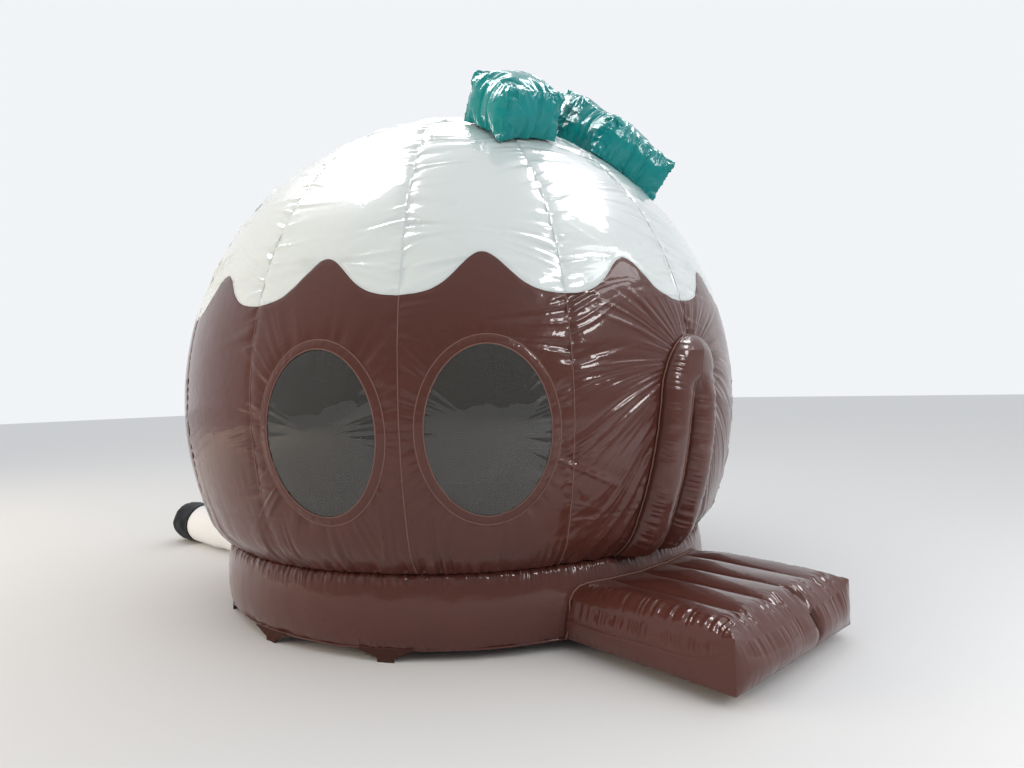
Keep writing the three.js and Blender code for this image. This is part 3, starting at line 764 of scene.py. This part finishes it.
def bed_side(z):
    """The same at a height in metres."""
    return bed_round(np.clip((z - BED_SEAM_Z) / (BED_TOP - BED_SEAM_Z), 0, 1))


def edge_drop(distance, radius):
    """How far a top lies below its flat near an edge, where it rounds over into a blown panel."""
    turn = EDGE_TURN * (1 - np.clip(distance / radius, 0, 1))
    return radius * (1 - np.sqrt(1 - turn ** 2)) / EDGE_TURN


def beside_bed(x, z, gap):
    """How far forward the bed's side is at a place across the step and a height, with a gap to it."""
    return -np.sqrt((bed_side(z) + gap) ** 2 - x ** 2)


def step_top(x, y):
    """Height of the step's top: low beams between weld lines, rounded down to pinched corners."""
    side, front = STEP_HALF - np.abs(x), np.clip(y - STEP_FRONT, 0, None)
    back = np.clip(beside_bed(x, STEP_TOP, 0) - y, 0, None)
    place = (x + STEP_HALF) / (2 * STEP_HALF) * BEAMS
    across = (place - np.clip(np.floor(place), 0, BEAMS - 1)) * 2 - 1
    corner = fade(np.hypot(side, front), 0.16)
    flat = blend(STEP_TOP, STEP_CORNER_TOP, corner)
    crown = STEP_CROWN * (1 - np.abs(across) ** 2.4) * (1 - fade(front, 0.10))
    crown = crown * (0.12 + 0.88 * step(back, 0.0, 0.3)) - 0.006
    weld = -0.007 * hump((1 - np.abs(across)) * STEP_HALF / BEAMS, 0.012)
    weld = weld * step(front, 0.05, 0.14) * step(back, 0.0, 0.12)
    weld = weld - 0.026 * hump(np.abs(x - STEP_CREASE_X), 0.018, 1.5) * (1 - step(front, 0.05, 0.24))
    round_side = edge_drop(side, 0.02 + 0.115 * (1 - fade(front, 0.14)))
    round_front = edge_drop(front, 0.02 + 0.150 * (1 - fade(side, 0.14)))
    edge = 1 - fade(np.minimum(side, front), 0.02)
    gather = ridges(x / 0.030 + 0.6 * noise(y / 0.08, 0, 0, 136), 0, 131) * 0.0052
    gather = gather * hump(front - 0.085, 0.06)
    tuck_side = ridges(y / 0.028, np.sign(x), 133) * 0.0046 * hump(side - 0.065, 0.05)
    tuck_side = tuck_side * np.where(x > 0, 0.4, 1.0)
    wave = 0.003 * noise(x / 0.2, y / 0.25, 0, 132)
    return flat + crown + weld - np.maximum(round_side, round_front) + (gather + tuck_side + wave) * edge


def step_side(y, share):
    """How far the step's side panel stands out, from its foot (share 0) to the top edge (share 1)."""
    front = y - STEP_FRONT
    held = 1 - fade(front, 0.16)
    away = held * (1 - fade(share, 0.06)) * (1 - fade(1 - share, 0.06))
    seam = (STEP_SEAM - STEP_FOOT) / (STEP_TOP - STEP_FOOT) + 0.30 * fade(front, 0.12)
    bulge = 0.036 * np.sin(math.pi * share ** 0.95) * held
    line = -0.010 * hump(share - seam, 0.024)
    gather = ridges(y / 0.028, 2, 133) * 0.0050 * hump(share - 0.86, 0.16)
    foot = ridges(y / 0.045, 4, 134) * 0.004 * fade(share, 0.15)
    return bulge + (line + gather + foot + 0.006 * noise(y / 0.25, share * 2, 0, 135)) * away


def step_face(x, z, share):
    """How far the step's front panel stands out."""
    side = STEP_HALF - np.abs(x)
    held = 1 - fade(side, 0.10)
    away = held * (1 - fade(share, 0.06)) * (1 - fade(1 - share, 0.05))
    bulge = 0.054 * np.sin(math.pi * share ** 0.9) * held
    crease_x = STEP_CREASE_X + 0.16 * (STEP_TOP - z)
    crease = -0.045 * hump(np.abs(x - crease_x), 0.016, 1.5) * step(z, 0.06, 0.20)
    crease = crease - 0.014 * hump(x - crease_x, 0.07)
    fan = ridges(x / 0.030 + 3 * (x - crease_x) * (1 - share), 0, 131) * 0.0044 * fade(1 - share, 0.24)
    foot = ridges(x / 0.05, 3, 122) * 0.0045 * fade(share, 0.18)
    soft = 0.010 * noise(x / 0.17 + 1.4 * z, z / 0.4, 0, 123)
    return bulge + (crease + fan + foot + soft) * away


def step_piece():
    """The step as a loft from the bed's side to its front edge, with the front panel's own grid."""
    x = np.linspace(-STEP_HALF, STEP_HALF, STEP_COLUMNS)
    share = np.linspace(0, 1, STEP_ROWS)
    rings = []
    for t in np.linspace(0, 1, 190) ** 0.85:
        def along(px, pz):
            return blend(beside_bed(px, pz, 0.003), STEP_FRONT, t)

        y_top = along(x, STEP_TOP)
        z_top = step_top(x, y_top)
        sides = []
        for end, sign in ((0, -1), (-1, 1)):
            z = blend(STEP_FOOT, z_top[end], share)
            y = along(STEP_HALF, z)
            out = STEP_HALF + step_side(y, share)
            sides.append(np.stack([sign * out, y, z], -1))
        span = np.abs(x) / STEP_HALF
        z_low = STEP_FOOT * np.maximum(step(span, 0.7, 1.0), step(t, 0.86, 1.0))
        bottom = np.stack([x, along(x, STEP_FOOT), z_low], -1)
        top = np.stack([x, y_top, z_top], -1)
        rings.append(np.concatenate([sides[0], top[1:-1], sides[1][::-1], bottom[1:-1][::-1]]))
    rings = np.array(rings)
    parts = [loft(rings[:, ::-1], cap=False)]
    for ring, front in ((rings[-1], True), (rings[0], False)):
        left, top, right, _ = np.split(ring, np.cumsum([STEP_ROWS, STEP_COLUMNS - 2, STEP_ROWS]))
        right = right[::-1]
        top = np.concatenate([left[-1:], top, right[-1:]])
        level = blend(STEP_FOOT, top[None, :, 2], share[:, None])
        across = blend(left[:, None, 0], right[:, None, 0], (x[None] + STEP_HALF) / (2 * STEP_HALF))
        if front:
            depth = STEP_FRONT - step_face(x[None], level, share[:, None])
        else:
            depth = beside_bed(across, level, 0.003)
        grid = np.stack([across, depth, level], -1)
        parts.append(open_grid(grid if front else grid[:, ::-1]))
    piece = make_object("step_cushion", *parts)
    weld(piece)
    dress(piece, BROWN, ["step"])
    step_seams_and_painted_weld_highlights(x)


def step_seams_and_painted_weld_highlights(x):
    """Weld beads along the beams, lighter for a painted highlight in the grooves, and the piping where the
    step is sewn to the bed.
    """
    lines = []
    for beam in range(1, BEAMS):
        line_x = -STEP_HALF + 2 * STEP_HALF * beam / BEAMS
        y = np.linspace(beside_bed(line_x, STEP_TOP, 0.02), STEP_FRONT + 0.13, 90)
        path = np.stack([line_x + 0 * y, y, step_top(line_x, y) + 0.001], -1)
        # The weld beads are real; their light colour is a painted highlight for the lit groove flanks
        lines.append(bead(path, np.tile([0.0, 0.0, 1.0], (len(y), 1)), 0.007, 0.0025))
    z = np.linspace(STEP_FOOT, STEP_TOP - 0.095, 30)
    edge = STEP_HALF + 0.5 * step_side(-1.9, 0.5)
    top_y = beside_bed(x, STEP_TOP, 0.01)
    top = np.stack([x, top_y, step_top(x, top_y) + 0.004], -1)
    left, right = (np.stack([side * edge + 0 * z, beside_bed(STEP_HALF, z, 0.01), z], -1) for side in (-1, 1))
    path = np.concatenate([left, top[4:-4], right[::-1]])
    normal = np.stack([path[:, 0] * 0.9, path[:, 1] * 0.3, 0.2 + 0 * path[:, 2]], -1)
    lines.append(bead(path, unit(normal), 0.011, 0.006))
    dress(make_object("step_seams_and_painted_weld_highlights", *lines), BROWN_THREAD)


def open_grid(grid):
    """An open grid of points, rows up and columns to the right as seen from outside."""
    rows, columns = grid.shape[:2]
    index = np.arange(rows * columns).reshape(rows, columns)
    faces = np.stack([index[:-1, :-1], index[:-1, 1:], index[1:, 1:], index[1:, :-1]], -1).reshape(-1, 4)
    return grid.reshape(-1, 3), faces


def weld(piece):
    """Merges the points that two joined parts share along their border."""
    mesh = bmesh.new()
    mesh.from_mesh(piece.data)
    bmesh.ops.remove_doubles(mesh, verts=mesh.verts, dist=0.0004)
    mesh.to_mesh(piece.data)
    mesh.free()
    piece.data.shade_smooth()


# ---- tube, tabs

TUBE_R = 0.214
TUBE_ROOT = (-1.010, 1.350)
TUBE_TURN = 6.6
TUBE_LENGTH = 1.99
TUBE_SIDES = 96
SLEEVE_LENGTH = 0.43
TAB_HEIGHT, TAB_END = 0.082, 0.025
TAB_HALF = (0.056, 0.185)  # half widths at the end and at the root


def tube_rings(start, end, count, radius):
    s = np.linspace(start, end, count)[:, None]
    turn = -around(TUBE_SIDES)
    r = radius(s, turn)
    x, z = r * np.cos(turn), np.maximum(TUBE_R + r * np.sin(turn), 0.0)
    angle = math.radians(TUBE_TURN)
    return np.stack([TUBE_ROOT[0] + x * math.cos(angle) - s * math.sin(angle),
                     TUBE_ROOT[1] + x * math.sin(angle) + s * math.cos(angle), z], -1)


def tube_pieces():
    def body(s, turn):
        wave = 0.006 * noise(s / 0.3, np.cos(turn) * 1.5, np.sin(turn) * 1.5, 141)
        crease = 0.004 * ridges(s / 0.09 + 0.8 * np.sin(turn), np.cos(turn), 142)
        return TUBE_R - 0.004 + wave + crease * step(noise(s / 0.5, turn, 0, 143), 0.0, 0.7)

    def end(s, turn):
        share = (s - TUBE_LENGTH) / SLEEVE_LENGTH
        shoulder = np.sqrt(np.clip(1 - np.clip((share - 0.72) / 0.285, 0, 1) ** 2, 0, 1))
        wave = 0.005 * noise(s / 0.12, np.cos(turn) * 2, np.sin(turn) * 2, 144)
        gather = 0.006 * ridges(turn * 5, 0, 145) * step(share, 0.6, 1)
        return (TUBE_R + 0.003 + wave + gather) * (0.45 + 0.55 * shoulder)

    tube = make_object("blower_tube_skin", loft(tube_rings(0.35, TUBE_LENGTH, 150, body)))
    dress(tube, TUBE_CLOTH, ["blower_tube"])
    rings = tube_rings(TUBE_LENGTH - 0.01, TUBE_LENGTH + SLEEVE_LENGTH, 60, end)
    sleeve = make_object("blower_sleeve_skin", loft(rings))
    dress(sleeve, SLEEVE_CLOTH, ["blower_sleeve"])


def tab_piece(number):
    low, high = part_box(f"anchor_tab_{number}")
    middle = (low + high) / 2
    azimuth = math.atan2(middle.x, -middle.y)
    z = TAB_HEIGHT * np.linspace(0, 1, 13)[:, None]
    width = blend(*TAB_HALF, np.clip((z - TAB_END) / 0.055, 0, 1))
    x = width * np.linspace(-1, 1, 33)
    depth = BED_SEAM_R + 0.008 + 0.0025 * noise(x / 0.03, z / 0.03, number, 151)

    def place(d):
        right = x * math.cos(azimuth) + d * math.sin(azimuth)
        back = x * math.sin(azimuth) - d * math.cos(azimuth)
        return np.stack([right, back, z + 0 * x], -1)

    piece = sheet_mesh(f"anchor_web_{number}", place(depth + 0.005), place(depth))
    dress(piece, WEBBING, [f"anchor_tab_{number}"])


# ---- holly

SHARP_EDGE = math.radians(40)
LEAF_CLEARANCE = 0.012
SEAM_DRAW = 0.018
SEAM_HELD = 0.016
RAISED_LEAF = "holly_leaf_2"
LEAF_ROOT = (45, 70.5)
LEAF_ROOT_RISE = 0.30
LEAF_TIP = (30.4, 42.5)
LEAF_ROOT_REACH = 0.07
CLOTH = {"quality": 5, "mass": 0.3, "tension_stiffness": 18, "compression_stiffness": 12,
         "shear_stiffness": 8, "bending_stiffness": 0.2, "use_pressure": True}
CLOTH_FRAMES = 24
LEAF_CLOTH = (0.013, 4.0, 0.07, -0.05)  # voxel, pressure, furthest move, shrink
BERRY_CLOTH = (0.016, 1.0, 0.01, 0.0, 0.88)  # the same and the berry's share of its solid's size


def seam_lines(source):
    """Both ends of each sharp edge of a CAD solid, and the corners where these meet."""
    mesh = bmesh.new()
    mesh.from_mesh(source.data)
    bmesh.ops.remove_doubles(mesh, verts=mesh.verts, dist=0.0005)
    sharp = [edge for edge in mesh.edges
             if len(edge.link_faces) == 2 and edge.calc_face_angle(0.0) > SHARP_EDGE]
    ends = np.array([[vertex.co[:] for vertex in edge.verts] for edge in sharp]).reshape(-1, 2, 3)
    count = {}
    for edge in sharp:
        for vertex in edge.verts:
            count[vertex] = count.get(vertex, 0) + 1
    corners = np.array([vertex.co[:] for vertex, edges in count.items() if edges > 2]).reshape(-1, 3)
    mesh.free()
    return ends, corners


def seam_places(ends, corners, points):
    """The nearest place on a seam to each point, and the distances from it and from the nearest corner."""
    if len(ends) == 0:
        return points, *np.full((2, len(points)), 10.0)
    start, along = ends[:, 0], ends[:, 1] - ends[:, 0]
    near = np.empty_like(points)
    for low in range(0, len(points), 4000):
        part = points[low:low + 4000, None]
        share = np.clip(((part - start) * along).sum(-1) / (along ** 2).sum(-1), 0, 1)
        foot = start + share[..., None] * along
        best = np.linalg.norm(part - foot, axis=-1).argmin(1)
        near[low:low + 4000] = foot[np.arange(len(best)), best]
    gap = np.linalg.norm(points - near, axis=1)
    tip = np.linalg.norm(near[:, None] - corners, axis=-1).min(1)
    return near, gap, tip


def off_dome(points):
    """Moves points that lie in the dome's skin out to just above it."""
    reach = np.array([RADIUS, RADIUS, RISE]) + LEAF_CLEARANCE
    from_centre = points - [0, 0, CENTRE_Z]
    share = np.linalg.norm(from_centre / reach, axis=1, keepdims=True)
    return from_centre / np.minimum(share, 1) + [0, 0, CENTRE_Z]


def risen(points):
    """Lifts the second leaf's root and draws it out, where the leaves crowd together."""
    root, tip = dome_point(*LEAF_ROOT, 0.0), dome_point(*LEAF_TIP, 0.0)
    height = np.linalg.norm((points - [0, 0, CENTRE_Z]) / [RADIUS, RADIUS, RISE], axis=1) - 1
    near = hump(np.linalg.norm(points - root, axis=1), 0.5)
    lift = LEAF_ROOT_RISE * near * np.clip(height * RADIUS / 0.3, 0, 1)
    reach = LEAF_ROOT_REACH * (root - tip) / np.linalg.norm(root - tip)
    return points + dome_normal(*LEAF_ROOT) * lift[:, None] + reach * near[:, None]


def pinched(near, gap, tip):
    """How far an inflated panel stands out beside its seams: gathers, and sharp folds at the corners."""
    first = sharpened(noise(*(near.T / 0.062), 161))
    second = sharpened(noise(*(near.T / 0.027), 162))
    reach = 0.05 + 0.09 * step(noise(*(near.T / 0.09), 163), -0.3, 0.7) + 0.05 * fade(tip, 0.1)
    start = 1 - fade(gap, 0.010)
    return start * (0.0125 * first * hump(gap, reach, 1.3) + 0.0030 * second * fade(gap, 0.03))


def puffed(node, name, material, slot, voxel, pressure, cap, shrink, size=1.0):
    """A copy of a CAD solid, blown up as cloth held along its seams, with gathers beside the seams."""
    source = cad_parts[node]
    ends, corners = seam_lines(source)
    piece = new_object(name, source.data.copy())
    bpy.context.view_layer.objects.active = piece
    remesh = piece.modifiers.new("remesh", "REMESH")
    remesh.mode = "VOXEL"
    remesh.voxel_size = voxel
    apply_modifiers(piece)
    plain = vertex_array(piece)
    plain = plain.mean(0) + (plain - plain.mean(0)) * size
    _, gap, tip = seam_places(ends, corners, plain)
    between = (1 - fade(tip, 0.12)) * fade(gap, 0.06)
    raised = risen(plain) if node == RAISED_LEAF else plain
    rest = off_dome(raised - normal_array(piece) * (SEAM_DRAW * between)[:, None])
    place_vertices(piece, rest)
    kept = piece.data.attributes.new("plain", "FLOAT_VECTOR", "POINT")
    kept.data.foreach_set("vector", plain.astype(np.float32).ravel())
    cloth = piece.modifiers.new("cloth", "CLOTH")
    settings = cloth.settings
    for key, value in CLOTH.items():
        setattr(settings, key, value)
    settings.uniform_pressure_force = pressure
    settings.shrink_min = shrink
    settings.effector_weights.gravity = 0
    group = piece.vertex_groups.new(name="held")
    group.add([int(index) for index in np.flatnonzero(gap < SEAM_HELD)], 1.0, "REPLACE")
    settings.vertex_group_mass = "held"
    scene = bpy.context.scene
    for count in range(1, CLOTH_FRAMES + 1):
        scene.frame_set(count)
    apply_modifiers(piece)
    scene.frame_set(1)
    move = vertex_array(piece) - rest
    far = np.linalg.norm(move, axis=1, keepdims=True)
    place_vertices(piece, rest + move * np.minimum(1, cap / np.maximum(far, 1e-9)))
    smooth = piece.modifiers.new("smooth", "SUBSURF")
    smooth.levels = smooth.render_levels = 1
    apply_modifiers(piece)
    kept = piece.data.attributes["plain"]
    places = seam_places(ends, corners, read_vectors(kept.data, "vector"))
    piece.data.attributes.remove(kept)
    place_vertices(piece, off_dome(vertex_array(piece) + normal_array(piece) * pinched(*places)[:, None]))
    piece.data.shade_smooth()
    return dress(piece, material, [node])


def read_vectors(items, key):
    """A mesh's vectors, such as its points, as rows of three."""
    flat = np.zeros(len(items) * 3, np.float32)
    items.foreach_get(key, flat)
    return flat.reshape(-1, 3).astype(float)


def normal_array(piece):
    return read_vectors(piece.data.vertex_normals, "vector")


def vertex_array(piece):
    return read_vectors(piece.data.vertices, "co")


def place_vertices(piece, points):
    piece.data.vertices.foreach_set("co", points.astype(np.float32).ravel())
    piece.data.update()


def apply_modifiers(piece):
    graph = bpy.context.evaluated_depsgraph_get()
    graph.update()
    made = bpy.data.meshes.new_from_object(piece.evaluated_get(graph))
    piece.modifiers.clear()
    piece.data = made


# ---- stage

def stage():
    bpy.ops.mesh.primitive_plane_add(size=120, location=(0, 0, 0))
    floor = bpy.context.object
    floor.name = "floor"
    material, tree, shader = new_material("floor")
    feed(tree, shader, {"Base Color": (0.74, 0.74, 0.74, 1), "Roughness": 0.9})
    floor.data.materials.append(material)
    world = bpy.data.worlds.new("studio")
    bpy.context.scene.world = world
    world.use_nodes = True
    tree = world.node_tree
    side = {0: add(tree, "TexCoord", "Generated", {}), 1: BRIGHT_SIDE}
    share = {"Value": add(tree, "VectorMath", "Value", side, operation="DOT_PRODUCT"),
             "From Min": -0.75, "From Max": 0.6}
    sky = {0: add(tree, "MapRange", "Result", share, interpolation_type="SMOOTHSTEP"),
           6: DARK_SKY, 7: BRIGHT_SKY}
    feed(tree, tree.nodes["Background"], {"Color": add(tree, "Mix", 2, sky, data_type="RGBA")})


def panel(name, place, width, height, power, colour=(1, 1, 1)):
    """A soft rectangular lamp that shines down until it is turned."""
    data = bpy.data.lights.new(name, "AREA")
    data.shape, data.size, data.size_y = "RECTANGLE", width, height
    data.energy, data.color = power, colour
    lamp = new_object(name, data)
    lamp.location = place
    return lamp


def dome_light(seen, azimuth, elevation, distance, width, height, power, roll=0, colour=(1, 1, 1)):
    """A soft panel that faces the dome, seen in diffuse light only or in gloss only."""
    rise = math.radians(elevation)
    direction = Vector(round_axis(azimuth, math.cos(rise), math.sin(rise)))
    place = Vector((0, 0, CENTRE_Z)) + direction * distance
    lamp = panel("panel", place, width, height, power, colour)
    lamp.rotation_mode = "QUATERNION"
    turn = (-direction).to_track_quat("-Z", "Y")
    lamp.rotation_quaternion = turn @ Quaternion((0, 0, 1), math.radians(roll))
    lamp.visible_glossy, lamp.visible_diffuse = seen == "gloss", seen == "diffuse"


def camera():
    data = bpy.data.cameras.new("camera")
    data.lens = 23.57
    data.sensor_width = 36
    eye = new_object("camera", data)
    turn = Vector(CAMERA_AHEAD).normalized().to_track_quat("-Z", "Y").to_matrix()
    roll = Matrix.Rotation(math.radians(CAMERA_ROLL), 3, "Z")
    eye.matrix_world = Matrix.Translation(CAMERA_PLACE) @ (turn @ roll).to_4x4()
    bpy.context.scene.camera = eye


CAMERA_PLACE = (-3.786, -4.792, 1.672)
CAMERA_AHEAD = (0.6724, 0.7401, 0.0054)
CAMERA_ROLL = -1.68
BRIGHT_SIDE = (0.52, 0.57, 0.64)
DARK_SKY, BRIGHT_SKY = (0.30, 0.31, 0.30, 1), (0.88, 0.90, 0.93, 1)
DOME_LIGHTS = (  # seen in, azimuth, elevation, distance, width, height, power, roll
    ("gloss", -147, 63, 12.5, 7.6, 3.8, 1500, 42),
    ("gloss", 59, 60, 12.5, 6.0, 3.6, 1150, 14),
    ("gloss", 159, 62, 12.5, 5.6, 5.6, 480),
    ("gloss", 4, 29, 12.5, 2.8, 2.6, 430),
    ("gloss", 28, 36, 12.5, 5.0, 2.2, 155),
    ("diffuse", -10, 40, 13, 9, 7, 300),
    ("diffuse", -120, 10, 14, 9, 4, 850, 0, (1, 0.8, 0.55)),
)

stage()
for values in DOME_LIGHTS:
    dome_light(*values)
panel("floor panel", (1.2, -7.6, 3.2), 4.5, 2.5, 150).visible_glossy = False
camera()

for gore in range(GORES):
    wall_piece(gore)
    icing_piece(gore)
seam_beads()
crown_piece()
for number, gore in enumerate(WINDOW_GORES):
    window_pieces(gore, number + 1)
door_pieces()
bed_piece()
step_piece()
tube_pieces()
for number in range(1, 10):
    tab_piece(number)
for number in (1, 2):
    puffed(f"holly_leaf_{number}", f"leaf_{number}", TEAL, "teal_pvc", *LEAF_CLOTH)
for number in (1, 2, 3):
    puffed(f"berry_{number}", f"berry_ball_{number}", RED, "red_pvc", *BERRY_CLOTH)

bpy.context.scene.view_settings.view_transform = "Standard"
